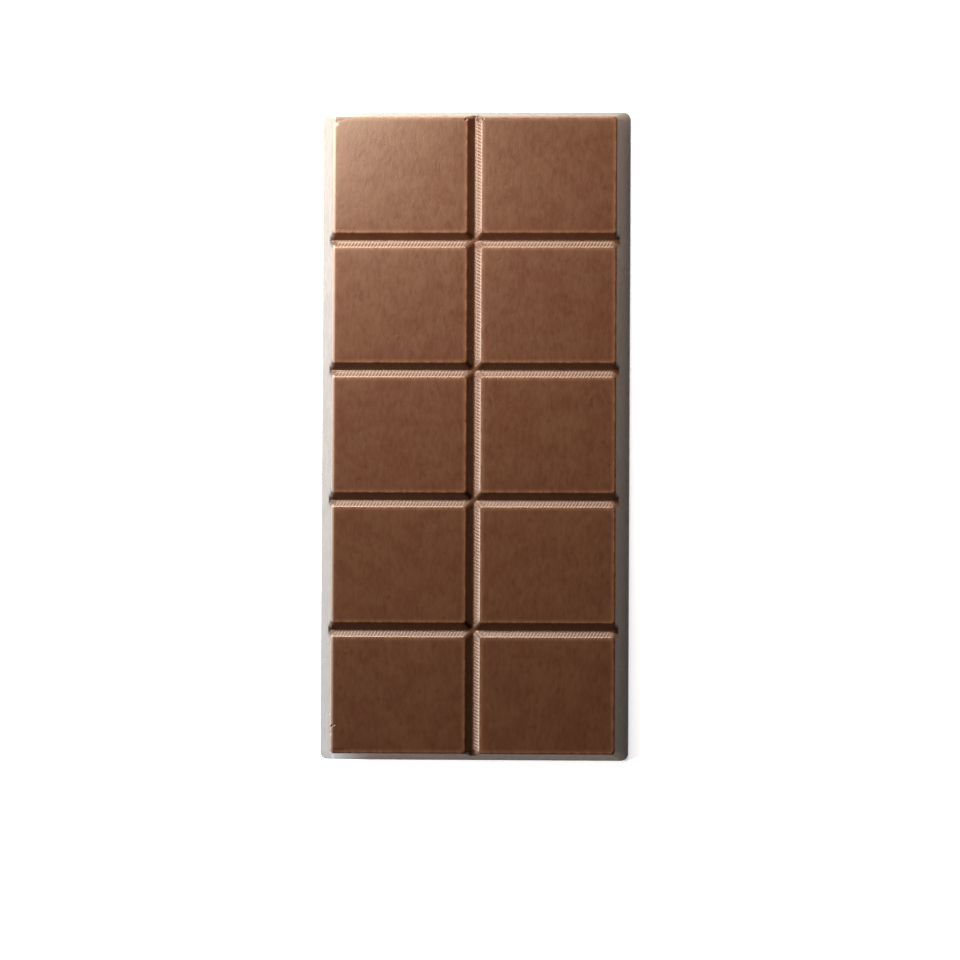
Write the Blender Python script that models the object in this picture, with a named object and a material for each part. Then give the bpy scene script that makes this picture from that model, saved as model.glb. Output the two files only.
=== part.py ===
"""A plain moulded chocolate bar: two columns and five rows of squares in one piece.

Metres, +Z up. The bar lies on its flat underside with its long axis along Y, and the
origin is the middle of the underside. A square is a stack of rounded rectangles, one for
each height of the groove's section, so its grooves, its outer walls and its rounded upright
corners all come from the same rings. Squares meet along the bottom lines of the grooves.
Where grooves cross or run out at a wall, a small level patch closes the bottom. Below the
grooves the outer wall goes on down to the underside as one rim.
"""

import math

import bmesh
import bpy

MM = 0.001

# Driving sizes
BAR_WIDTH = 76.2 * MM
BAR_LENGTH = 160.0 * MM
BAR_HEIGHT = 6.8 * MM
COLUMNS = 2
ROWS = 5
SIDE_DRAFT = 3.4 * MM  # how far the two long walls lean in on their way up
END_DRAFT = 2.0 * MM  # how far the two short walls lean in
GROOVE_WIDTH = 3.9 * MM  # from face to face
GROOVE_SLOPE = math.radians(44)
FILLET_RADIUS = 0.4 * MM  # along the bottom line of a groove
LIP_RADIUS = 0.5 * MM  # along every edge of a face
UNDERSIDE_RADIUS = 0.3 * MM
MERGE_DISTANCE = 0.001 * MM

# Radii of the upright corners, seen from above
BAR_CORNER_LOW = 1.9 * MM
BAR_CORNER_HIGH = 0.9 * MM
SQUARE_CORNER_LOW = 1.1 * MM
SQUARE_CORNER_HIGH = 0.7 * MM

# Steps of the rounded parts
FILLET_STEPS = 3
LIP_STEPS = 4
UNDERSIDE_STEPS = 3
CORNER_STEPS = 5

CHOCOLATE_COLOR = (0.115, 0.050, 0.026, 1.0)
CHOCOLATE_ROUGHNESS = 0.42


def groove_section():
    """Half of a groove as (distance from its bottom line, height) pairs, bottom first.

    A fillet turns from level to the slope, a straight wall climbs, and the lip turns back to
    level at the face. The depth follows from the width, the slope and the two radii.
    """
    half = GROOVE_WIDTH / 2
    radii = FILLET_RADIUS + LIP_RADIUS
    straight = (half - radii * math.sin(GROOVE_SLOPE)) / math.cos(GROOVE_SLOPE)
    depth = radii * (1 - math.cos(GROOVE_SLOPE)) + straight * math.sin(GROOVE_SLOPE)
    bottom = BAR_HEIGHT - depth
    section = []
    for step in range(FILLET_STEPS + 1):
        turn = GROOVE_SLOPE * step / FILLET_STEPS
        rise = FILLET_RADIUS * (1 - math.cos(turn))
        section.append((FILLET_RADIUS * math.sin(turn), bottom + rise))
    for step in range(LIP_STEPS, -1, -1):
        turn = GROOVE_SLOPE * step / LIP_STEPS
        drop = LIP_RADIUS * (1 - math.cos(turn))
        section.append((half - LIP_RADIUS * math.sin(turn), BAR_HEIGHT - drop))
    return section


def wall_inset(height, draft):
    """How far an outer wall stands in from the bar's widest line at a height.

    A quarter round rises from the underside to the widest line. From there the wall is
    straight and ends on the lip, an arc that meets the face at the whole draft.
    """
    if height < UNDERSIDE_RADIUS:
        fall = 1 - height / UNDERSIDE_RADIUS
        return UNDERSIDE_RADIUS * (1 - math.sqrt(1 - fall * fall))
    across, up = draft, BAR_HEIGHT - LIP_RADIUS - UNDERSIDE_RADIUS
    slope = math.atan2(up, across) + math.asin(LIP_RADIUS / math.hypot(across, up))
    if height > BAR_HEIGHT - LIP_RADIUS * (1 - math.cos(slope)):
        turn = math.acos(1 - (BAR_HEIGHT - height) / LIP_RADIUS)
        return draft - LIP_RADIUS * math.sin(turn)
    return (height - UNDERSIDE_RADIUS) / math.tan(slope)


def outline(height):
    """The bar's outline at a height: half its width, half its length, corner radius."""
    half_width = BAR_WIDTH / 2 - wall_inset(height, SIDE_DRAFT)
    half_length = BAR_LENGTH / 2 - wall_inset(height, END_DRAFT)
    climb = height / BAR_HEIGHT
    radius = BAR_CORNER_LOW + (BAR_CORNER_HIGH - BAR_CORNER_LOW) * climb
    return half_width, half_length, radius


def groove_lines(count, length, draft):
    """Places of the grooves between equal squares along one side of the bar."""
    face = (length - 2 * draft - (count - 1) * GROOVE_WIDTH) / count
    pitch = face + GROOVE_WIDTH
    return [pitch * (number - count / 2) for number in range(1, count)]


def corner_arc(corner_x, corner_y, toward_x, toward_y, radius):
    """A quarter round, anticlockwise, inside a corner whose sides face (toward_x, toward_y)."""
    start = math.atan2(toward_y, toward_x) - math.pi / 4
    middle_x = corner_x - toward_x * radius
    middle_y = corner_y - toward_y * radius
    arc = []
    for step in range(CORNER_STEPS + 1):
        turn = start + math.pi / 2 * step / CORNER_STEPS
        x = middle_x + radius * math.cos(turn)
        y = middle_y + radius * math.sin(turn)
        arc.append((x, y))
    return arc


def square_ring(column, row, away, height):
    """One rounded rectangle of a square, anticlockwise from its lower right corner.

    A side on a groove lies `away` from the groove's bottom line, and a side on the bar's
    outside follows the bar's outline.
    """
    half_width, half_length, bar_radius = outline(height)
    grooves_x = groove_lines(COLUMNS, BAR_WIDTH, SIDE_DRAFT)
    grooves_y = groove_lines(ROWS, BAR_LENGTH, END_DRAFT)
    left = -half_width if column == 0 else grooves_x[column - 1] + away
    right = half_width if column == COLUMNS - 1 else grooves_x[column] - away
    low = -half_length if row == 0 else grooves_y[row - 1] + away
    high = half_length if row == ROWS - 1 else grooves_y[row] - away
    part_way = away / (GROOVE_WIDTH / 2)
    radius = SQUARE_CORNER_LOW + (SQUARE_CORNER_HIGH - SQUARE_CORNER_LOW) * part_way
    ring = []
    for toward_x, toward_y in ((1, -1), (1, 1), (-1, 1), (-1, -1)):
        x = right if toward_x > 0 else left
        y = high if toward_y > 0 else low
        on_bar_corner = abs(x) == half_width and abs(y) == half_length
        used = bar_radius if on_bar_corner else radius
        ring += corner_arc(x, y, toward_x, toward_y, used)
    return [(x, y, height) for x, y in ring]


def add_square(mesh, column, row):
    """The walls of one square, ring on ring, and its flat face."""
    rings = []
    for away, height in groove_section():
        points = square_ring(column, row, away, height)
        rings.append([mesh.verts.new(point) for point in points])
    for lower, upper in zip(rings, rings[1:]):
        for here in range(len(lower)):
            after = (here + 1) % len(lower)
            mesh.faces.new((lower[here], lower[after], upper[after], upper[here]))
    mesh.faces.new(rings[-1])


def add_patch(mesh, arcs, height):
    """A level patch at the bottom of the grooves, bounded by square corners."""
    points = []
    for arc in arcs:
        for x, y in reversed(arc):
            if not points or math.dist(points[-1], (x, y)) > MERGE_DISTANCE:
                points.append((x, y))
    if math.dist(points[0], points[-1]) < MERGE_DISTANCE:
        points.pop()
    mesh.faces.new([mesh.verts.new((x, y, height)) for x, y in points])


def add_groove_patches(mesh):
    """A four-pointed patch at each crossing and a three-sided one at each groove's end."""
    bottom = groove_section()[0][1]
    radius = SQUARE_CORNER_LOW
    half_width, half_length, _ = outline(bottom)
    grooves_x = groove_lines(COLUMNS, BAR_WIDTH, SIDE_DRAFT)
    grooves_y = groove_lines(ROWS, BAR_LENGTH, END_DRAFT)
    around = ((1, 1), (-1, 1), (-1, -1), (1, -1))
    for x in grooves_x:
        for y in grooves_y:
            arcs = [corner_arc(x, y, -step_x, -step_y, radius) for step_x, step_y in around]
            add_patch(mesh, arcs, bottom)
        for end in (1, -1):
            y = end * half_length
            sides = ((end, -end), (-end, -end))
            arcs = [corner_arc(x, y, -side, -step, radius) for side, step in sides]
            add_patch(mesh, arcs, bottom)
    for y in grooves_y:
        for end in (1, -1):
            x = end * half_width
            sides = ((-end, end), (-end, -end))
            arcs = [corner_arc(x, y, -step, -side, radius) for step, side in sides]
            add_patch(mesh, arcs, bottom)


def slide_on_outline(point, height):
    """Moves a point of the bar's outline to the outline of another height."""
    half_width, half_length, radius = outline(point.z)
    core_x, core_y = half_width - radius, half_length - radius
    near_x = max(-core_x, min(core_x, point.x))
    near_y = max(-core_y, min(core_y, point.y))
    out_x, out_y = (point.x - near_x) / radius, (point.y - near_y) / radius
    new_width, new_length, new_radius = outline(height)
    x = near_x * (new_width - new_radius) / core_x + out_x * new_radius
    y = near_y * (new_length - new_radius) / core_y + out_y * new_radius
    return x, y, height


def add_rim(mesh):
    """The outer wall below the grooves, drawn down from their level, and the underside."""
    heights = [UNDERSIDE_RADIUS]
    for step in range(1, UNDERSIDE_STEPS + 1):
        turn = math.pi / 2 * step / UNDERSIDE_STEPS
        heights.append(UNDERSIDE_RADIUS * max(0.0, 1 - math.sin(turn)))
    edges = [edge for edge in mesh.edges if edge.is_boundary]
    for height in heights:
        drawn = bmesh.ops.extrude_edge_only(mesh, edges=edges)["geom"]
        for vertex in drawn:
            if isinstance(vertex, bmesh.types.BMVert):
                vertex.co = slide_on_outline(vertex.co, height)
        edges = [edge for edge in drawn if isinstance(edge, bmesh.types.BMEdge)]
    bmesh.ops.edgeloop_fill(mesh, edges=edges)


def chocolate_material():
    """Plain milk chocolate with a soft gloss."""
    material = bpy.data.materials.new("chocolate")
    material.use_nodes = True
    shader = material.node_tree.nodes["Principled BSDF"]
    shader.inputs["Base Color"].default_value = CHOCOLATE_COLOR
    shader.inputs["Roughness"].default_value = CHOCOLATE_ROUGHNESS
    shader.inputs["Metallic"].default_value = 0.0
    return material


def chocolate_bar():
    """The whole bar as one closed solid."""
    mesh = bmesh.new()
    for column in range(COLUMNS):
        for row in range(ROWS):
            add_square(mesh, column, row)
    add_groove_patches(mesh)
    bmesh.ops.remove_doubles(mesh, verts=mesh.verts, dist=MERGE_DISTANCE)
    add_rim(mesh)
    bmesh.ops.recalc_face_normals(mesh, faces=mesh.faces)
    data = bpy.data.meshes.new("chocolate_bar")
    mesh.to_mesh(data)
    mesh.free()
    data.materials.append(chocolate_material())
    bar = bpy.data.objects.new("chocolate_bar", data)
    bpy.context.scene.collection.objects.link(bar)
    return bar


def main():
    for thing in list(bpy.data.objects):
        bpy.data.objects.remove(thing)
    chocolate_bar()


main()
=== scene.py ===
"""Looks of a moulded chocolate bar, built round its solid and laid on a pale floor."""

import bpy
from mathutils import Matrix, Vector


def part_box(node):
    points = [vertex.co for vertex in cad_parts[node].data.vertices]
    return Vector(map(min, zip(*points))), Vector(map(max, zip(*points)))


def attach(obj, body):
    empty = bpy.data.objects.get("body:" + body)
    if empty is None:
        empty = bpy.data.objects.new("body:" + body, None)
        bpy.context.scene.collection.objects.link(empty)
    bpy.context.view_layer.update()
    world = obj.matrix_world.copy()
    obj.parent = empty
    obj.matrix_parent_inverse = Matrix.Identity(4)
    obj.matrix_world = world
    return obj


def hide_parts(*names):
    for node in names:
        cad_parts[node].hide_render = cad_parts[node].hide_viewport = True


bl_info = {
    "name": "Moulded Chocolate Bar",
    "version": (1, 0, 0),
    "blender": (4, 5, 0),
    "location": "3D View > Sidebar > Chocolate",
    "description": "Adds a moulded chocolate bar with grooves, and a stage to show it on",
    "category": "Add Mesh",
}

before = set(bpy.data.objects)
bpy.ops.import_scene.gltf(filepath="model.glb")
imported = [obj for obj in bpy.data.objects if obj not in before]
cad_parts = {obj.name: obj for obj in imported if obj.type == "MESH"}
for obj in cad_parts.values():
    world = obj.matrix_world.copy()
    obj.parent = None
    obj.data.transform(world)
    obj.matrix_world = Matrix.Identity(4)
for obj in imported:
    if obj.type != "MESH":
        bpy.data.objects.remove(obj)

import math

import bmesh
import bpy
import numpy as np
from bpy.props import FloatProperty, FloatVectorProperty, IntProperty, PointerProperty
from mathutils import Matrix, Vector

MM = 0.001
NODE = "chocolate_bar"
PIECE = "moulded_bar"
SOLID_LOW, SOLID_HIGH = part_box(NODE)
SOLID_SIZE = SOLID_HIGH - SOLID_LOW
CORNERS = np.array([(1.0, -1.0), (1.0, 1.0), (-1.0, 1.0), (-1.0, -1.0)])
WELD_DISTANCE = 0.002 * MM
CHOCOLATE_IOR = 1.46

# Fineness of the mesh: stations of a groove's wall to one of a face, and numbers of rings.
FAN = 5
FILLET_RINGS = 3
WALL_RINGS = 4
LIP_RINGS = 4
RIM_RINGS = 6
UNDERSIDE_EDGE_RINGS = 6
FACE_SCALES = np.array([0.985, 0.96, 0.92, 0.86, 0.78, 0.66, 0.5, 0.3, 0.12])
UNDERSIDE_SCALES = np.array([0.12, 0.3, 0.5, 0.66, 0.76, 0.82, 0.86, 0.9, 0.93, 0.96, 0.985])
# Scale at which the underside's hollow begins, and how much further in it is at its depth.
DISH_BEGIN = 0.94
DISH_SLOPE = 0.1

# How wide an outer wall is above the grooves' bottom, as a share of a groove's wall.
OUTER_WALL_SHARE = 0.4
# Share of a square's side over which its ribs fade in.
RIB_FADE = 0.03
# Painted highlight bands along a ribbed wall, which faces the light and is one wide: middle,
# width, strength, and how much the ribs add to the strength. They stand for glints at the
# wall's foot and lip and for paler crests of the ribs.
PAINTED_GLINT_BANDS = ((0.22, 0.12, 0.8, 0.2), (0.52, 0.18, 0.15, 0.5), (0.82, 0.1, 0.3, 0.2))

# What a mark of each kind does: how deep it is in mm, how dark it is and how pale it is.
MARK_KINDS = {
    # A pit's darkness is painted shade inside its hollow.
    "pit": (0.2, 0.9, 0.0),
    "nick": (0.12, 0.0, 0.45),
    "worn": (0.15, 0.2, 0.25),
    "stain": (0.0, 0.65, 0.0),
    "speck": (0.03, 0.4, 0.0),
}
MARK_REACH = 1.3  # the radius at which a mark has faded out, where its edge is at one
# The marks on the top: kind, place in mm, width and length in mm, and lean in degrees.
MARKS = (
    ("pit", (-2.2, 77.7), (0.6, 0.6), 0),
    ("pit", (1.9, 77.7), (0.45, 0.85), -40),
    ("pit", (-34.6, -71.7), (0.45, 0.7), -40),
    ("nick", (-35.3, -68.7), (0.4, 0.8), 0),
    ("nick", (-35.0, -73.6), (0.4, 0.8), 0),
    ("nick", (-34.0, -71.5), (0.4, 0.4), 0),
    ("worn", (-34.7, 77.2), (1.8, 1.4), -45),
    ("speck", (-33.4, 77.6), (3.8, 0.9), 12),
    ("stain", (-33.8, -77.3), (0.9, 0.6), 0),
    ("stain", (-32.0, -77.3), (0.8, 0.5), 0),
    ("speck", (-32.9, -77.6), (3.4, 0.5), 0),
    ("speck", (-33.9, 50.7), (0.45, 0.45), 0),
    ("speck", (-32.7, 50.7), (0.45, 0.45), 0),
    ("speck", (-30.2, 49.7), (0.6, 0.5), 0),
    ("speck", (-9.2, 49.7), (0.6, 0.5), 0),
    ("speck", (-4.0, 49.7), (0.6, 0.5), 0),
)

# The studio's lights: name, place in mm, width in mm, power in watts and colour.
LIGHTS = (
    ("low_window", (-1495, 0, 570), 700, 60.0, (1.0, 0.885, 0.73)),
    ("head_light", (-60, 420, 200), 100, 3.93, (1.0, 0.89, 0.72)),
    ("side_light", (-250, 60, 110), 55, 0.3, (0.77, 0.86, 1.0)),
    ("corner_light", (-70, 110, 100), 40, 0.55, (1.0, 0.88, 0.68)),
)


def length(name, description, value, **more):
    """A size in metres, written in millimetres."""
    return FloatProperty(
        name=name, description=description, default=value * MM, unit="LENGTH", precision=5, **more
    )


class ChocolateBarSettings(bpy.types.PropertyGroup):
    """Sizes and colours of the bar."""

    columns: IntProperty(name="Columns", description="Squares across the bar", default=2)
    rows: IntProperty(name="Rows", description="Squares along the bar", default=5)
    side_draft: length("Side draft", "How far the long walls lean in", 3.4)
    end_draft: length("End draft", "How far the short walls lean in", 2.0)
    groove_width: length("Groove width", "Width of a groove from face to face", 3.9)
    groove_slope: FloatProperty(
        name="Groove slope", description="Steepness of a groove's walls",
        default=math.radians(44), subtype="ANGLE",
    )
    fillet_radius: length("Fillet radius", "Round along the bottom of a groove", 0.4)
    lip_radius: length("Lip radius", "Round along the edges of a face", 0.5)
    underside_radius: length("Underside radius", "Round along the underside's edge", 0.3)
    bar_corner_low: length("Bar corner, low", "Upright corner radius at the underside", 1.9)
    bar_corner_high: length("Bar corner, high", "Upright corner radius at the faces", 0.9)
    square_corner_low: length("Square corner, low", "Corner radius in the grooves", 1.1)
    square_corner_high: length("Square corner, high", "Corner radius at the faces", 0.7)
    crown: length("Crown", "How far the middle of a face stands above its edge", 0.08)
    rib_pitch: length("Rib pitch", "Distance between the slanted ribs on groove walls", 0.82)
    rib_depth: length("Rib depth", "Height of the slanted ribs on groove walls", 0.05)
    rib_lean: FloatProperty(
        name="Rib lean", description="Shift of a rib along its groove to one across", default=0.5
    )
    underside_dish: length("Underside dish", "How far the underside's middle is hollow", 0.12)
    color: FloatVectorProperty(
        name="Color", description="Colour of the chocolate",
        default=(0.0445, 0.0135, 0.005), subtype="COLOR", size=3,
    )
    cloud_color: FloatVectorProperty(
        name="Cloud color", description="Colour of the yellower clouds in the chocolate",
        default=(0.0455, 0.0155, 0.0053), subtype="COLOR", size=3,
    )
    # Painted on the left and high outer walls, which face the light, so that their reflection
    # looks neutral grey-white.
    lit_wall_grey_color: FloatVectorProperty(
        name="Bloom color", description="Colour of the duller film on two of the outer walls",
        default=(0.02, 0.013, 0.011), subtype="COLOR", size=3,
    )
    # Used for worn lips and for a painted highlight in a band just inside each face's edge.
    rubbed_color: FloatVectorProperty(
        name="Rubbed color", description="Colour of rubbed edges",
        default=(0.16, 0.075, 0.042), subtype="COLOR", size=3,
    )
    # Used for the painted highlight bands on groove walls that face the light, the painted
    # highlight along the left outer lip, and pale nicks.
    highlight_and_nick_color: FloatVectorProperty(
        name="Ridge color", description="Colour of scuffed ribs and nicks",
        default=(0.22, 0.168, 0.157), subtype="COLOR", size=3,
    )
    # Used for dark dots, stains and specks, and as painted shade inside pits.
    stain_and_pit_shade_color: FloatVectorProperty(
        name="Stain color", description="Colour inside pits and stains",
        default=(0.012, 0.004, 0.002), subtype="COLOR", size=3,
    )
    roughness: FloatProperty(
        name="Roughness", description="Roughness of the faces", default=0.43, subtype="FACTOR"
    )
    grain_width: length("Grain width", "Width of the fine strokes on the faces", 1.0)
    grain_stroke: FloatProperty(
        name="Grain stroke", description="Length of the fine strokes to one of width", default=2.2
    )
    grain_relief: length("Grain relief", "Height of the fine strokes on the faces", 0.03)
    cloud_width: length("Cloud width", "Width of the yellower clouds", 5.0)


class ChocolateStageSettings(bpy.types.PropertyGroup):
    """Sizes and colours of the stage."""

    floor_size: length("Floor size", "Length of the square floor's sides", 6000.0)
    floor_color: FloatVectorProperty(
        name="Floor color", description="Colour of the floor",
        default=(0.9, 0.9, 0.9), subtype="COLOR", size=3,
    )
    floor_glow: FloatVectorProperty(
        name="Floor glow", description="Light that the floor gives off, as a light table does",
        default=(0.53, 0.55, 0.61), subtype="COLOR", size=3,
    )
    left_glow: FloatVectorProperty(
        name="Left glow", description="The same on the left of the bar, where it is stronger",
        default=(2.5, 2.8, 3.1), subtype="COLOR", size=3, soft_max=5.0,
    )
    spill: FloatProperty(
        name="Spill", description="Share of the floor's glow that lights the bar on its right",
        default=0.5, min=0.0, max=1.0,
    )
    target: FloatVectorProperty(
        name="Target", description="Point of the floor that the camera looks at",
        default=(1.2 * MM, -10.9 * MM, 0.0), subtype="TRANSLATION", unit="LENGTH", size=3,
    )
    distance: length("Camera distance", "From the camera to the floor", 1500.0)
    focal_length: FloatProperty(
        name="Focal length", description="Focal length in millimetres", default=227.8
    )
    lean_right: FloatProperty(
        name="Lean right", description="Angle of the camera to the right of straight down",
        default=math.radians(4.1), subtype="ANGLE",
    )
    lean_low: FloatProperty(
        name="Lean low", description="Angle of the camera below straight down",
        default=math.radians(1.5), subtype="ANGLE",
    )
    roll: FloatProperty(
        name="Roll", description="Turn of the camera about its own axis",
        default=math.radians(0.27), subtype="ANGLE",
    )


# ---------------------------------------------------------------- shape of the bar


def groove_section(bar):
    """Half of a groove's section: distances from its bottom line, heights and slopes.

    The slope turns evenly from level to the wall's angle round the fillet, stays there on the
    straight wall, and turns evenly back to level round the lip. Each arc's point is its
    radius times (sine, one minus cosine) of the turn.
    """
    slope, half = bar.groove_slope, bar.groove_width / 2
    radii = bar.fillet_radius + bar.lip_radius
    straight = (half - radii * math.sin(slope)) / math.cos(slope)
    depth = radii * (1 - math.cos(slope)) + straight * math.sin(slope)
    top = SOLID_SIZE.z - bar.crown
    turn_low = slope * np.linspace(0, 1, FILLET_RINGS)
    turn_high = slope * np.linspace(1, 0, LIP_RINGS)
    fillet_away = bar.fillet_radius * np.sin(turn_low)
    fillet_rise = bar.fillet_radius * (1 - np.cos(turn_low))
    lip_away = half - bar.lip_radius * np.sin(turn_high)
    lip_rise = depth - bar.lip_radius * (1 - np.cos(turn_high))
    share = np.linspace(0, 1, WALL_RINGS + 2)[1:-1]
    wall_away = fillet_away[-1] + (lip_away[0] - fillet_away[-1]) * share
    wall_rise = fillet_rise[-1] + (lip_rise[0] - fillet_rise[-1]) * share
    away = np.concatenate([fillet_away, wall_away, lip_away])
    rise = np.concatenate([fillet_rise, wall_rise, lip_rise])
    slopes = np.concatenate([turn_low, np.full(len(share), slope), turn_high])
    return away, top - depth + rise, slopes


def wall_inset(bar, height, draft):
    """How far an outer wall stands in from the bar's widest line at some heights.

    Below the underside's radius it is a quarter round. Above that the wall is a straight line
    to the lip, and the lip is an arc that meets the face at the whole draft.
    """
    top = SOLID_SIZE.z - bar.crown
    low, lip = bar.underside_radius, bar.lip_radius
    up = top - lip - low
    slope = math.atan2(up, draft) + math.asin(lip / math.hypot(draft, up))
    fall = np.clip(1 - height / low, 0, 1)
    quarter = low * (1 - np.sqrt(1 - fall * fall))
    straight = (height - low) / math.tan(slope)
    turn = np.arccos(np.clip(1 - (top - height) / lip, -1, 1))
    arc = draft - lip * np.sin(turn)
    on_lip = height > top - lip * (1 - math.cos(slope))
    return np.where(height < low, quarter, np.where(on_lip, arc, straight))


def outline(bar, height):
    """Half width, half length and corner radius of the bar's outline at some heights."""
    half_width = SOLID_SIZE.x / 2 - wall_inset(bar, height, bar.side_draft)
    half_length = SOLID_SIZE.y / 2 - wall_inset(bar, height, bar.end_draft)
    climb = height / SOLID_SIZE.z
    radius = bar.bar_corner_low + (bar.bar_corner_high - bar.bar_corner_low) * climb
    return half_width, half_length, radius


def groove_lines(bar, count, size, draft):
    """Places of the grooves between `count` equal squares along one side of the bar."""
    face = (size - 2 * draft - (count - 1) * bar.groove_width) / count
    return (face + bar.groove_width) * (np.arange(1, count) - count / 2)


def stations(steps):
    """The stations round a ring: the corner each follows, its turn there and its share of a side.

    `steps` gives the number of parts of the four sides, beginning with the right one. A corner
    has twice FAN parts, so that the whole ring can be thinned by FAN.
    """
    corner, turn, share, on_arc = [], [], [], []
    for number in range(4):
        start = math.pi / 2 * (number - 1)
        arc_turns = start + math.pi / 2 * np.arange(2 * FAN) / (2 * FAN)
        corner += [number] * (2 * FAN + steps[number])
        turn += [*arc_turns, *([start + math.pi / 2] * steps[number])]
        share += [*([0.0] * 2 * FAN), *(np.arange(steps[number]) / steps[number])]
        on_arc += [True] * (2 * FAN) + [False] * steps[number]
    return np.array(corner), np.array(turn), np.array(share), np.array(on_arc)


def ring_points(rectangle, radius, corner, turn, share):
    """Points of rounded rectangles, as an array of rings by stations.

    A station lies on a straight line from the end of its own corner's arc to the start of the
    next corner's arc, and on the arc itself where its share of that line is nought. The
    rectangle is (right, high, left, low), and the radius has one column for each corner.
    """
    right, high, left, low = rectangle
    at_x = np.stack([right, right, left, left], axis=1)
    at_y = np.stack([low, high, high, low], axis=1)
    middle = np.stack([at_x - CORNERS[:, 0] * radius, at_y - CORNERS[:, 1] * radius], axis=2)
    following = (corner + 1) % 4
    here = np.stack([np.cos(turn), np.sin(turn)], axis=1)
    start = math.pi / 2 * corner
    there = np.stack([np.cos(start), np.sin(start)], axis=1)
    begin = middle[:, corner] + radius[:, corner, None] * here
    end = middle[:, following] + radius[:, following, None] * there
    return begin + (end - begin) * share[:, None]


def with_height(flat, height):
    """Points with a height for each ring."""
    tall = np.broadcast_to(height[:, None], flat.shape[:2])
    return np.concatenate([flat, tall[..., None]], axis=2)


class Parts:
    """Vertices, edge distances, painted glints and scuffs, and faces of a mesh, as arrays."""

    def __init__(self):
        self.points, self.edge, self.rub, self.faces, self.count = [], [], [], [], 0

    def add_points(self, points, edge=1.0, rub=0.0):
        """Adds rows of points and returns their numbers in the same rows."""
        shape = points.shape[:-1]
        numbers = self.count + np.arange(math.prod(shape)).reshape(shape)
        self.points.append(points.reshape(-1, 3))
        self.edge.append(np.broadcast_to(edge, shape).reshape(-1))
        self.rub.append(np.broadcast_to(rub, shape).reshape(-1))
        self.count += numbers.size
        return numbers

    def add_rows(self, numbers):
        """Quads between closed rows of vertex numbers, each row outside or below the next."""
        for first, second in zip(numbers, numbers[1:]):
            quads = [first, np.roll(first, -1), np.roll(second, -1), second]
            self.faces.append(np.stack(quads, axis=1))

    def add_thinning(self, fine, coarse):
        """Triangles between a closed row and one with FAN times fewer points."""
        rows = fine.reshape(-1, FAN)
        wide = np.concatenate([rows, np.roll(rows[:, :1], -1, axis=0)], axis=1)
        for step in range(FAN):
            self.faces.append(np.stack([wide[:, step], wide[:, step + 1], coarse], axis=1))
        self.faces.append(np.stack([wide[:, FAN], np.roll(coarse, -1), coarse], axis=1))

    def add_fan(self, row, centre, edge=1.0):
        """Triangles from a closed row to a middle point."""
        middle = self.add_points(np.array([centre]), edge)
        self.faces.append(np.stack([row, np.roll(row, -1), np.full_like(row, middle[0])], axis=1))

    def mesh(self, name):
        """A Blender mesh, welded where rows meet and facing outwards."""
        faces = [face for block in self.faces for face in block.tolist()]
        data = bpy.data.meshes.new(name)
        data.from_pydata(np.concatenate(self.points), [], faces)
        for label, values in (("edge", self.edge), ("rub", self.rub)):
            attribute = data.attributes.new(label, "FLOAT", "POINT")
            attribute.data.foreach_set("value", np.concatenate(values).astype(np.float32))
        shape = bmesh.new()
        shape.from_mesh(data)
        bmesh.ops.remove_doubles(shape, verts=shape.verts, dist=WELD_DISTANCE)
        bmesh.ops.recalc_face_normals(shape, faces=shape.faces)
        shape.to_mesh(data)
        shape.free()
        data.shade_smooth()
        return data


def finish_underside(data):
    """Gives the faces that look down the second material."""
    normals = np.empty(len(data.polygons) * 3, np.float32)
    data.polygons.foreach_get("normal", normals)
    data.polygons.foreach_set("material_index", (normals[2::3] < -0.5).astype(np.int32))


def rib_relief(bar, points, away, slopes, corner, share):
    """Slanted ribs on the walls at a square's high and left sides, which face the light, with
    painted highlight bands.

    The ribs are a sine wave along the groove whose phase shifts with the distance from the
    bottom line. Across the wall they follow half a sine wave, and they fade out towards the
    corners. They move each point square to the wall. Highlights are painted on the wall in bands
    at its foot and lip, where its bends catch the light, and on the crests of the ribs; each band
    is a bell of the share of the wall's width.
    """
    upright = corner % 2 == 0
    along = np.where(upright, points[..., 1], points[..., 0])
    across = np.where(upright, points[..., 0], points[..., 1])
    lean = np.where(upright, bar.rib_lean, -bar.rib_lean)
    wave = np.sin(2 * math.pi * (along + lean * across) / bar.rib_pitch)
    from_corner = np.clip(np.minimum(share, 1 - share) / RIB_FADE, 0, 1)
    ribbed = from_corner * ((corner == 1) | (corner == 2))
    part = np.clip(2 * away / bar.groove_width, 0, 1)[:, None]
    relief = bar.rib_depth * wave * np.sin(math.pi * part) * ribbed
    # Painted highlight bands along the wall, which faces the light: at its foot and lip, paler on
    # the ribs' crests.
    rub = sum(
        np.exp(-(((part - middle) / width) ** 2)) * (strength + change * wave)
        for middle, width, strength, change in PAINTED_GLINT_BANDS
    )
    way = math.pi / 2 * corner
    outward = np.stack([np.cos(way), np.sin(way)], axis=1)
    move = with_height(outward * np.sin(slopes)[:, None, None], np.cos(slopes))
    return relief[..., None] * move, np.clip(rub, 0, 1) * ribbed


def square_rectangle(bar, column, row, away, height):
    """The four sides of a square at each ring, and which of them lie on the bar's outside."""
    half_width, half_length, _ = outline(bar, height)
    lines_x = groove_lines(bar, bar.columns, SOLID_SIZE.x, bar.side_draft)
    lines_y = groove_lines(bar, bar.rows, SOLID_SIZE.y, bar.end_draft)
    outside = np.array([column == bar.columns - 1, row == bar.rows - 1, column == 0, row == 0])
    right = half_width if outside[0] else lines_x[column] - away
    high = half_length if outside[1] else lines_y[row] - away
    left = -half_width if outside[2] else lines_x[column - 1] + away
    low = -half_length if outside[3] else lines_y[row - 1] + away
    return (right, high, left, low), outside


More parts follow.
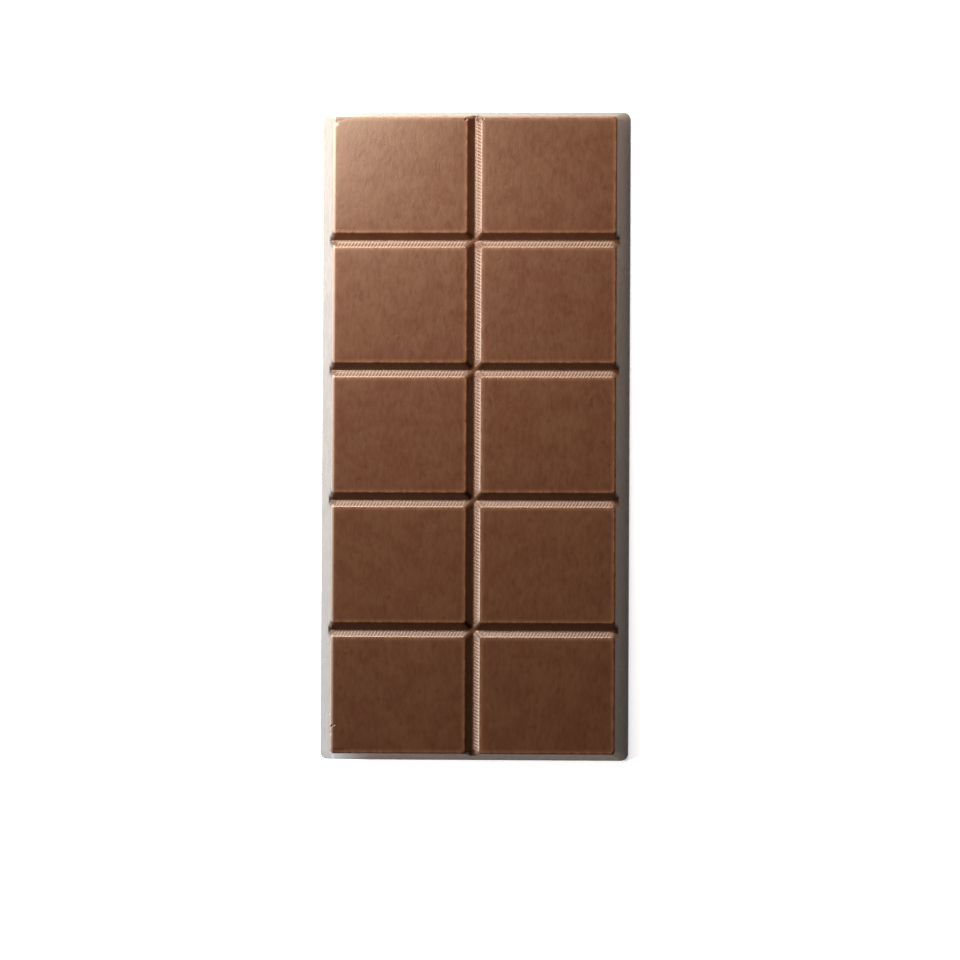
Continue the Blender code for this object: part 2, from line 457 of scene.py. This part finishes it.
def add_square(parts, bar, column, row):
    """One square: rings up its walls, then rings scaled towards the middle of its face.

    The face rises from its edge to the crown as one minus the sixth power of the scale. The
    square's lowest ring is returned in four arcs and four sides.
    """
    away, height, slopes = groove_section(bar)
    rectangle, outside = square_rectangle(bar, column, row, away, height)
    right, high, left, low = (side[-1] for side in rectangle)
    part_way = (away / away[-1])[:, None]
    square_radius = bar.square_corner_low * (1 - part_way) + bar.square_corner_high * part_way
    bar_radius = outline(bar, height)[2][:, None]
    radius = np.where(outside & np.roll(outside, 1), bar_radius, square_radius)
    steps = []
    for size, is_outside in zip((high - low, right - left) * 2, outside):
        spacing = bar.rib_pitch if is_outside else bar.rib_pitch / FAN
        steps.append(FAN * math.ceil(size / spacing / FAN))
    corner, turn, share, on_arc = stations(steps)
    flat = ring_points(rectangle, radius, corner, turn, share)
    points = with_height(flat, height)
    ribs, rub = rib_relief(bar, points, away, slopes, corner, share)
    points += ribs * ~outside[corner][:, None]
    wall_share = np.where(outside[corner], OUTER_WALL_SHARE, 1.0)
    edge = (away - away[-1])[:, None] * wall_share
    # Only the groove walls get the painted highlight bands.
    numbers = parts.add_points(points, edge, rub * ~outside[corner])
    parts.add_rows(numbers)

    middle = np.array([(left + right) / 2, (low + high) / 2])
    spokes = flat[-1, ::FAN] - middle
    flat_face = middle + spokes * FACE_SCALES[:, None, None]
    face = with_height(flat_face, height[-1] + bar.crown * (1 - FACE_SCALES**6))
    rows = parts.add_points(face, ((1 - FACE_SCALES) * (high - low) / 2)[:, None])
    parts.add_thinning(numbers[-1], rows[0])
    parts.add_rows(rows)
    parts.add_fan(rows[-1], (*middle, height[-1] + bar.crown))
    arcs = [flat[0, (corner == number) & on_arc] for number in range(4)]
    sides = [flat[0, (corner == number) & ~on_arc] for number in range(4)]
    return arcs, sides


def corner_arc(bar, corner, toward):
    """A quarter round, anticlockwise, inside a square's lowest corner that points `toward`."""
    start = math.atan2(toward[1], toward[0]) - math.pi / 4
    turn = start + math.pi / 2 * np.linspace(0, 1, 2 * FAN + 1)
    round_part = np.stack([np.cos(turn), np.sin(turn)], axis=1)
    return np.array(corner) + bar.square_corner_low * (round_part - toward)


def add_crossing(parts, bar, crossing, height):
    """The four-pointed patch where two grooves cross: four corner arcs round a middle point."""
    around = np.roll(CORNERS, -1, axis=0)
    arcs = [corner_arc(bar, crossing, -toward)[:0:-1] for toward in around]
    loop = np.concatenate(arcs)
    foot = -bar.groove_width / 2
    row = parts.add_points(with_height(loop[None], np.array([height]))[0], foot)
    parts.add_fan(row, (*crossing, height), foot)


def add_run_out(parts, bar, end, toward, height):
    """The small patch where a groove runs out: a strip between its two corner arcs."""
    across = np.array([-toward[1], toward[0]])
    one = corner_arc(bar, end, toward - across)
    two = corner_arc(bar, end, toward + across)[::-1]
    strip = with_height(np.stack([one, two]), np.array([height, height]))
    rows = parts.add_points(strip, -bar.groove_width / 2)
    low, high = rows
    parts.faces.append(np.stack([low[:-1], low[1:], high[1:], high[:-1]], axis=1))


def slide_on_outline(bar, points, height, new_height):
    """Moves points of the bar's outline at one height to the outlines of other heights.

    A point is its nearest point of the inner rectangle plus the corner radius times a unit
    direction. The inner point is scaled to the new inner rectangle and the radius is changed.
    """
    half_width, half_length, radius = outline(bar, np.array([height]))
    core = np.array([half_width[0], half_length[0]]) - radius[0]
    near = np.clip(points, -core, core)
    direction = (points - near) / radius[0]
    new_width, new_length, new_radius = outline(bar, new_height)
    new_core = np.stack([new_width, new_length], axis=1) - new_radius[:, None]
    moved = near * (new_core / core)[:, None] + direction * new_radius[:, None, None]
    return with_height(moved, new_height)


def outer_loop(squares, columns, rows):
    """The outline at the grooves' level, anticlockwise from the lower right corner.

    Each of the bar's sides is followed square by square: the square's side, the first point
    of the corner after it, and on the last square the whole of that corner.
    """
    along = (
        [(columns - 1, row) for row in range(rows)],
        [(column, rows - 1) for column in reversed(range(columns))],
        [(0, row) for row in reversed(range(rows))],
        [(column, 0) for column in range(columns)],
    )
    kept = []
    for side, places in enumerate(along):
        for place in places:
            arcs, sides = squares[place]
            arc = arcs[(side + 1) % 4]
            kept += [sides[side], arc if place == places[-1] else arc[:1]]
    return np.concatenate(kept)


def add_rim_and_underside(parts, bar, loop, bottom):
    """The wall below the grooves, its round lower edge, and the underside's scaled rings.

    The underside is level round its edge, which the bar rests on. Further in it is hollow by
    the dish's depth, along a smooth step.
    """
    low = bar.underside_radius
    curve = low * (1 - np.sin(math.pi / 2 * np.linspace(0, 1, UNDERSIDE_EDGE_RINGS)))
    heights = np.concatenate([curve[::-1], np.linspace(low, bottom, RIM_RINGS + 1)[1:]])
    wall = slide_on_outline(bar, loop, bottom, heights)
    numbers = parts.add_points(wall)
    parts.add_rows(numbers)
    step = np.clip((DISH_BEGIN - UNDERSIDE_SCALES) / DISH_SLOPE, 0, 1)
    dish = bar.underside_dish * step * step * (3 - 2 * step)
    rows = parts.add_points(with_height(wall[0, :, :2] * UNDERSIDE_SCALES[:, None, None], dish))
    parts.add_rows(np.concatenate([rows, numbers[:1]]))
    parts.add_fan(rows[0][::-1], (0.0, 0.0, bar.underside_dish))


def mark_radius(points):
    """How far points lie from each mark, and the marks' narrower widths.

    The radius is one on an ellipse of the mark's width and length, turned by its lean.
    """
    places = np.array([place for _, place, _, _ in MARKS]) * MM
    sizes = np.array([size for _, _, size, _ in MARKS]) * MM
    lean = np.radians([lean for *_, lean in MARKS])
    off = points[:, None, :2] - places
    across = off[..., 0] * np.cos(lean) + off[..., 1] * np.sin(lean)
    along = off[..., 1] * np.cos(lean) - off[..., 0] * np.sin(lean)
    return np.hypot(2 * across / sizes[:, 0], 2 * along / sizes[:, 1]), sizes.min(axis=1)


def refine(data):
    """Halves the edges in and near the marks until they are fine enough.

    An edge is too long when it is longer than a fifth of the mark's width plus half of
    its distance from the mark, so that the mesh grows coarser evenly all round.
    """
    shape = bmesh.new()
    shape.from_mesh(data)
    while True:
        shape.to_mesh(data)
        points = np.empty(len(data.vertices) * 3, np.float32)
        data.vertices.foreach_get("co", points)
        ends = np.empty(len(data.edges) * 2, np.int32)
        data.edges.foreach_get("vertices", ends)
        ends = points.reshape(-1, 3)[ends.reshape(-1, 2)]
        size = np.linalg.norm(ends[:, 0] - ends[:, 1], axis=1)
        middle = ends.mean(axis=1)
        radius, width = mark_radius(middle)
        off = (radius - MARK_REACH) * width / 2 - size[:, None] / 2
        longest = (width / 5 + 0.5 * np.maximum(off, 0)).min(axis=1)
        chosen = np.flatnonzero((size > longest) & (middle[:, 2] > SOLID_SIZE.z / 2))
        if not len(chosen):
            break
        shape.edges.ensure_lookup_table()
        edges = [shape.edges[number] for number in chosen]
        made = bmesh.ops.subdivide_edges(shape, edges=edges, cuts=1, use_grid_fill=True)
        corners = [item for item in made["geom_inner"] if isinstance(item, bmesh.types.BMVert)]
        touched = {face for corner in corners for face in corner.link_faces if len(face.verts) > 4}
        bmesh.ops.triangulate(shape, faces=list(touched))
    shape.free()


def add_marks(data):
    """Sinks the pits and nicks into the top, and adds their darkness and paleness as attributes.

    A mark's strength is e to the power of minus its radius cubed. The marks' strengths times
    their kinds' depths are the way that each point sinks in, square to the surface.
    """
    refine(data)
    points = np.empty(len(data.vertices) * 3, np.float32)
    data.vertices.foreach_get("co", points)
    normals = np.empty_like(points)
    data.vertices.foreach_get("normal", normals)
    points, normals = points.reshape(-1, 3), normals.reshape(-1, 3)
    kinds = np.array([MARK_KINDS[kind] for kind, *_ in MARKS])
    strength = np.exp(-(mark_radius(points)[0] ** 3)) * (normals[:, 2:] > 0.2)
    sink, stain, rub = (strength[..., None] * kinds).max(axis=1).T
    points -= normals * sink[:, None] * MM
    data.vertices.foreach_set("co", points.reshape(-1))
    # The attribute already holds the ribs' painted highlight bands; each point keeps the paler of
    # these and its marks' scuffs.
    ribs = np.empty(len(points), np.float32)
    data.attributes["rub"].data.foreach_get("value", ribs)
    data.attributes["rub"].data.foreach_set("value", np.maximum(rub, ribs).astype(np.float32))
    # The marks' darkness: stains and specks, and painted shade inside pits.
    attribute = data.attributes.new("stain", "FLOAT", "POINT")
    attribute.data.foreach_set("value", stain.astype(np.float32))


def bar_mesh(bar):
    """The whole bar as one closed mesh."""
    parts = Parts()
    squares = {}
    for column in range(bar.columns):
        for row in range(bar.rows):
            squares[column, row] = add_square(parts, bar, column, row)
    bottom = groove_section(bar)[1][0]
    half_width, half_length, _ = outline(bar, np.array([bottom]))
    lines_x = groove_lines(bar, bar.columns, SOLID_SIZE.x, bar.side_draft)
    lines_y = groove_lines(bar, bar.rows, SOLID_SIZE.y, bar.end_draft)
    for end in (1.0, -1.0):
        for x in lines_x:
            add_run_out(parts, bar, (x, end * half_length[0]), np.array([0.0, end]), bottom)
        for y in lines_y:
            add_run_out(parts, bar, (end * half_width[0], y), np.array([end, 0.0]), bottom)
    for x in lines_x:
        for y in lines_y:
            add_crossing(parts, bar, (x, y), bottom)
    add_rim_and_underside(parts, bar, outer_loop(squares, bar.columns, bar.rows), bottom)
    data = parts.mesh(PIECE)
    add_marks(data)
    finish_underside(data)
    return data


# ---------------------------------------------------------------- finishes


def add_node(tree, kind, inputs=None, **settings):
    """Adds a node, whose inputs are given by name or number as values or as other sockets."""
    node = tree.nodes.new(kind)
    node.location.x = 200 * len(tree.nodes)
    for name, value in settings.items():
        setattr(node, name, value)
    for name, value in (inputs or {}).items():
        if isinstance(value, bpy.types.NodeSocket):
            tree.links.new(value, node.inputs[name])
        else:
            node.inputs[name].default_value = value
    return node


def calculate(tree, operation, one, other=0.0):
    """A Math node's result."""
    return add_node(tree, "ShaderNodeMath", {0: one, 1: other}, operation=operation).outputs[0]


def smooth_step(tree, value, begin, end, low=0.0, high=1.0):
    """A result that climbs smoothly from `low` to `high` as the value goes from begin to end."""
    inputs = {"Value": value, "From Min": begin, "From Max": end, "To Min": low, "To Max": high}
    node = add_node(tree, "ShaderNodeMapRange", inputs, interpolation_type="SMOOTHSTEP")
    return node.outputs["Result"]


def blend_colors(tree, factor, one, other):
    """One colour where the factor is nought and the other where it is one."""
    node = add_node(tree, "ShaderNodeMix", {0: factor, 6: one, 7: other}, data_type="RGBA")
    return node.outputs[2]


def shade(color, strength):
    """A colour made lighter or darker, with an alpha of one."""
    return (*(channel * strength for channel in color), 1.0)


def point_value(tree, name):
    """A mesh attribute's value."""
    return add_node(tree, "ShaderNodeAttribute", attribute_name=name).outputs["Fac"]


def cast_grain_group():
    """Node group: the grain of chocolate that has set, in Object coordinates.

    Strokes are a wavy noise, `Stroke` times longer along Y than across. Clouds are a broad
    noise, and specks a very fine one. All three lie about a half.
    """
    group = bpy.data.node_groups.new("cast_grain", "ShaderNodeTree")
    number = "NodeSocketFloat"
    for name, value in (("Width", 0.6 * MM), ("Stroke", 3.0), ("Cloud Width", 5 * MM)):
        socket = group.interface.new_socket(name=name, in_out="INPUT", socket_type=number)
        socket.default_value = value
    for name in ("Strokes", "Clouds", "Specks"):
        group.interface.new_socket(name=name, in_out="OUTPUT", socket_type=number)
    given = group.nodes.new("NodeGroupInput").outputs
    place = add_node(group, "ShaderNodeTexCoord").outputs["Object"]
    width = given["Width"]
    along = calculate(group, "MULTIPLY", width, given["Stroke"])
    cells = {
        "Strokes": {"X": width, "Y": along, "Z": width},
        "Clouds": {axis: given["Cloud Width"] for axis in "XYZ"},
        "Specks": {axis: calculate(group, "MULTIPLY", width, 0.3) for axis in "XYZ"},
    }
    waves = {
        "Strokes": {"Detail": 2.0, "Distortion": 0.5},
        "Clouds": {"Detail": 2.0, "Distortion": 0.4},
        "Specks": {"Detail": 1.0, "Distortion": 0.0},
    }
    results = {}
    for name, cell in cells.items():
        size = add_node(group, "ShaderNodeCombineXYZ", cell).outputs[0]
        scaled = add_node(group, "ShaderNodeVectorMath", {0: place, 1: size}, operation="DIVIDE")
        inputs = {"Vector": scaled.outputs[0], "Scale": 1.0, **waves[name]}
        results[name] = add_node(group, "ShaderNodeTexNoise", inputs).outputs["Fac"]
    add_node(group, "NodeGroupOutput", results)
    return group


def new_material(name):
    """A material with a plain shader, its tree and its shader."""
    material = bpy.data.materials.new(name)
    material.use_nodes = True
    return material, material.node_tree, material.node_tree.nodes["Principled BSDF"]


def add_grain(tree, group, width, stroke, cloud_width):
    """The outputs of a grain group placed in a material."""
    inputs = {"Width": width, "Stroke": stroke, "Cloud Width": cloud_width}
    node = tree.nodes.new("ShaderNodeGroup")
    node.node_tree = group
    for name, value in inputs.items():
        node.inputs[name].default_value = value
    return node.outputs


def add_bump(tree, height, distance, below=None):
    """The normal of a relief that is `distance` high, laid over the normal `below` it."""
    inputs = {"Height": height, "Distance": distance}
    if below is not None:
        inputs["Normal"] = below
    return add_node(tree, "ShaderNodeBump", inputs).outputs[0]


def moulded_chocolate(bar, group):
    """Satin milk chocolate from a mould.

    From the bottom up it has yellower clouds, dark dots where the strokes are lowest, worn lips,
    a painted highlight in a band just inside each face's edge, a darker and greyer colour painted
    on the left and high outer walls, which face the light, so that their reflection looks neutral,
    painted highlight bands on the groove walls that face the light and along the left outer lip,
    pale nicks, and stains, with the inside of each pit painted dark as its shade. The attribute
    "edge" is the distance from a face's edge, below nought on a wall. The attribute of glints and
    scuffs is one where the ribs' painted highlight bands and the pale nicks are strongest, and
    "stain" is where a mark is dark, which in a pit is painted shade.
    """
    material, tree, shader = new_material("moulded_chocolate")
    grain = add_grain(tree, group, bar.grain_width, bar.grain_stroke, bar.cloud_width)
    half_clouds = calculate(tree, "MULTIPLY", grain["Clouds"], 0.5)
    mottle = calculate(tree, "ADD", grain["Strokes"], half_clouds)
    tone = smooth_step(tree, mottle, 0.5, 1.0)
    plain = blend_colors(tree, tone, shade(bar.color, 0.95), shade(bar.color, 1.05))
    yellow = blend_colors(tree, tone, shade(bar.cloud_color, 0.95), shade(bar.cloud_color, 1.05))
    color = blend_colors(tree, smooth_step(tree, grain["Clouds"], 0.35, 0.65), plain, yellow)
    dots = smooth_step(tree, grain["Strokes"], 0.38, 0.28, 0.0, 0.2)
    color = blend_colors(tree, dots, color, shade(bar.stain_and_pit_shade_color, 1.0))

    edge = point_value(tree, "edge")
    on_face = calculate(tree, "GREATER_THAN", edge, 0.0)
    # Painted highlight in a band just inside each face's edge, all round.
    rim_highlight = smooth_step(tree, edge, 0.9 * MM, 0.3 * MM, 0.0, 0.14)
    rim_highlight = calculate(tree, "MULTIPLY", rim_highlight, on_face)
    off_lip = calculate(tree, "ABSOLUTE", edge)
    lip = smooth_step(tree, off_lip, 0.35 * MM, 0.05 * MM)
    wear = smooth_step(tree, grain["Strokes"], 0.4, 0.65, 0.05, 0.25)
    # Worn lips, which are real wear, added to that painted highlight.
    rubbed = calculate(tree, "ADD", calculate(tree, "MULTIPLY", lip, wear), rim_highlight)
    color = blend_colors(tree, rubbed, color, shade(bar.rubbed_color, 1.0))

    place = add_node(tree, "ShaderNodeTexCoord").outputs["Object"]
    across, along, _ = add_node(tree, "ShaderNodeSeparateXYZ", {0: place}).outputs
    face_left = bar.side_draft - SOLID_SIZE.x / 2
    face_high = SOLID_SIZE.y / 2 - bar.end_draft
    # Painted reflection tint: a darker, greyer colour on the left and high outer walls, which face
    # the light.
    left_wall = smooth_step(tree, across, face_left, face_left - 0.9 * MM)
    high_wall = smooth_step(tree, along, face_high + 0.2 * MM, face_high + 1.2 * MM)
    lit_wall_grey = calculate(tree, "MULTIPLY", calculate(tree, "MAXIMUM", left_wall, high_wall), 0.85)
    color = blend_colors(tree, lit_wall_grey, color, shade(bar.lit_wall_grey_color, 1.0))

    # Painted highlight along the left outer lip, which faces the light.
    left_lip_highlight = smooth_step(tree, across, face_left + 0.5 * MM, face_left + 0.1 * MM)
    from_wall = smooth_step(tree, across, face_left - 0.5 * MM, face_left - 0.1 * MM)
    from_groove = smooth_step(tree, edge, -0.4 * MM, -0.2 * MM, 0.0, 0.7)
    left_lip_highlight = calculate(tree, "MULTIPLY", left_lip_highlight, from_wall)
    left_lip_highlight = calculate(tree, "MULTIPLY", left_lip_highlight, from_groove)
    # The painted highlights on lit groove walls and the left lip, and the pale nicks, share one
    # colour.
    highlit_and_scuffed = calculate(tree, "MAXIMUM", point_value(tree, "rub"), left_lip_highlight)
    color = blend_colors(tree, highlit_and_scuffed, color, shade(bar.highlight_and_nick_color, 1.0))
    # Dark marks: stains and specks, and painted shade inside pits.
    color = blend_colors(tree, point_value(tree, "stain"), color, shade(bar.stain_and_pit_shade_color, 1.0))
    tree.links.new(color, shader.inputs["Base Color"])

    rough = smooth_step(tree, mottle, 0.5, 1.0, bar.roughness - 0.03, bar.roughness + 0.03)
    rough = calculate(tree, "ADD", rough, calculate(tree, "MULTIPLY", rubbed, 0.1))
    tree.links.new(rough, shader.inputs["Roughness"])
    shader.inputs["IOR"].default_value = CHOCOLATE_IOR

    strokes = add_bump(tree, grain["Strokes"], bar.grain_relief)
    specks = add_bump(tree, grain["Specks"], bar.grain_relief / 16, strokes)
    tree.links.new(specks, shader.inputs["Normal"])
    return material


def poured_chocolate(bar, group):
    """The underside, which set in the open air: duller and wavier than the moulded top."""
    material, tree, shader = new_material("poured_chocolate")
    grain = add_grain(tree, group, width=1.6 * MM, stroke=1.3, cloud_width=11 * MM)
    mottle = calculate(tree, "ADD", grain["Strokes"], grain["Clouds"])
    tone = smooth_step(tree, mottle, 0.7, 1.3)
    color = blend_colors(tree, tone, shade(bar.color, 0.95), shade(bar.color, 1.3))
    tree.links.new(color, shader.inputs["Base Color"])
    rough = smooth_step(tree, mottle, 0.7, 1.3, 0.52, 0.64)
    tree.links.new(rough, shader.inputs["Roughness"])
    shader.inputs["IOR"].default_value = CHOCOLATE_IOR
    waves = add_bump(tree, grain["Clouds"], 0.25 * MM)
    ripples = add_bump(tree, grain["Strokes"], 0.05 * MM, waves)
    tree.links.new(ripples, shader.inputs["Normal"])
    return material


def floor_material(stage):
    """Plain matt white that glows, more so on the left, so that no shadow is left on it.

    It looks equally bright on the right, but only a share of that glow lights the bar.
    """
    material, tree, shader = new_material("pale_floor")
    shader.inputs["Base Color"].default_value = (*stage.floor_color, 1.0)
    shader.inputs["Roughness"].default_value = 0.9
    shader.inputs["Specular IOR Level"].default_value = 0.1
    place = add_node(tree, "ShaderNodeTexCoord").outputs["Object"]
    across = add_node(tree, "ShaderNodeSeparateXYZ", {0: place}).outputs["X"]
    seen = add_node(tree, "ShaderNodeLightPath").outputs["Is Camera Ray"]
    spilt = shade(stage.floor_glow, stage.spill)
    right_glow = blend_colors(tree, seen, spilt, shade(stage.floor_glow, 1.0))
    on_left = smooth_step(tree, across, -25 * MM, -38 * MM)
    glow = blend_colors(tree, on_left, right_glow, shade(stage.left_glow, 1.0))
    tree.links.new(glow, shader.inputs["Emission Color"])
    shader.inputs["Emission Strength"].default_value = 1.0
    return material


# ---------------------------------------------------------------- stage


def aim(thing, location, target):
    """Places a light or camera and points it at a target, with +Y up in its picture."""
    back = (Vector(location) - Vector(target)).normalized()
    side = Vector((0, 1, 0)).cross(back).normalized()
    up = back.cross(side)
    turn = Matrix((side, up, back)).transposed().to_4x4()
    thing.matrix_world = Matrix.Translation(location) @ turn


def add_area_light(name, place, width, power, color):
    """A soft square light that shines at the bar's middle and that no view sees directly."""
    data = bpy.data.lights.new(name, "AREA")
    data.size = width
    data.energy = power
    data.color = color
    light = bpy.data.objects.new(name, data)
    bpy.context.scene.collection.objects.link(light)
    aim(light, place, (0, 0, 0))
    light.visible_camera = False


class AddChocolateBar(bpy.types.Operator):
    """Add the moulded chocolate bar in place of its plain solid"""

    bl_idname = "mesh.add_moulded_chocolate_bar"
    bl_label = "Moulded chocolate bar"

    def execute(self, context):
        bar = context.scene.chocolate_bar
        piece = bpy.data.objects.new(PIECE, bar_mesh(bar))
        context.scene.collection.objects.link(piece)
        group = cast_grain_group()
        piece.data.materials.append(moulded_chocolate(bar, group))
        piece.data.materials.append(poured_chocolate(bar, group))
        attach(piece, "root")
        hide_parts(NODE)
        return {"FINISHED"}


class AddChocolateStage(bpy.types.Operator):
    """Add the floor, the lights and the camera"""

    bl_idname = "scene.add_chocolate_stage"
    bl_label = "Floor, lights and camera"

    def execute(self, context):
        scene = context.scene
        stage = scene.chocolate_stage
        data = bpy.data.meshes.new("pale_floor")
        half = stage.floor_size / 2
        corners = [(-half, -half, 0), (half, -half, 0), (half, half, 0), (-half, half, 0)]
        data.from_pydata(corners, [], [(0, 1, 2, 3)])
        floor = bpy.data.objects.new("pale_floor", data)
        scene.collection.objects.link(floor)
        data.materials.append(floor_material(stage))

        for name, place, width, power, color in LIGHTS:
            add_area_light(name, Vector(place) * MM, width * MM, power, color)
        world = bpy.data.worlds.new("dark_room")
        world.use_nodes = True
        world.node_tree.nodes["Background"].inputs["Strength"].default_value = 0.0
        scene.world = world

        camera_data = bpy.data.cameras.new("camera")
        camera_data.lens = stage.focal_length
        camera_data.sensor_width = 36.0
        camera_data.clip_end = 10.0
        camera = bpy.data.objects.new("camera", camera_data)
        scene.collection.objects.link(camera)
        target = Vector(stage.target)
        lean = Vector((math.tan(stage.lean_right), -math.tan(stage.lean_low), 1)).normalized()
        aim(camera, target + lean * stage.distance, target)
        camera.matrix_world = camera.matrix_world @ Matrix.Rotation(stage.roll, 4, "Z")
        scene.camera = camera
        scene.view_settings.view_transform = "Standard"
        return {"FINISHED"}


class ChocolatePanel(bpy.types.Panel):
    """Lists the bar's and the stage's settings and operators"""

    bl_idname = "VIEW3D_PT_moulded_chocolate"
    bl_label = "Moulded chocolate"
    bl_space_type = "VIEW_3D"
    bl_region_type = "UI"
    bl_category = "Chocolate"

    def draw(self, context):
        for settings, operator in (
            (context.scene.chocolate_bar, AddChocolateBar),
            (context.scene.chocolate_stage, AddChocolateStage),
        ):
            for name in settings.bl_rna.properties.keys():
                if name not in ("rna_type", "name"):
                    self.layout.prop(settings, name)
            self.layout.operator(operator.bl_idname)


CLASSES = (
    ChocolateBarSettings,
    ChocolateStageSettings,
    AddChocolateBar,
    AddChocolateStage,
    ChocolatePanel,
)


def register():
    """Registers the classes and adds their settings to scenes."""
    for one in CLASSES:
        bpy.utils.register_class(one)
    bpy.types.Scene.chocolate_bar = PointerProperty(type=ChocolateBarSettings)
    bpy.types.Scene.chocolate_stage = PointerProperty(type=ChocolateStageSettings)


def unregister():
    """Takes back what register() did."""
    del bpy.types.Scene.chocolate_stage
    del bpy.types.Scene.chocolate_bar
    for one in reversed(CLASSES):
        bpy.utils.unregister_class(one)


def main():
    """Adds the bar and the stage."""
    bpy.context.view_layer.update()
    register()
    bpy.ops.mesh.add_moulded_chocolate_bar()
    bpy.ops.scene.add_chocolate_stage()


if __name__ == "__main__":
    main()
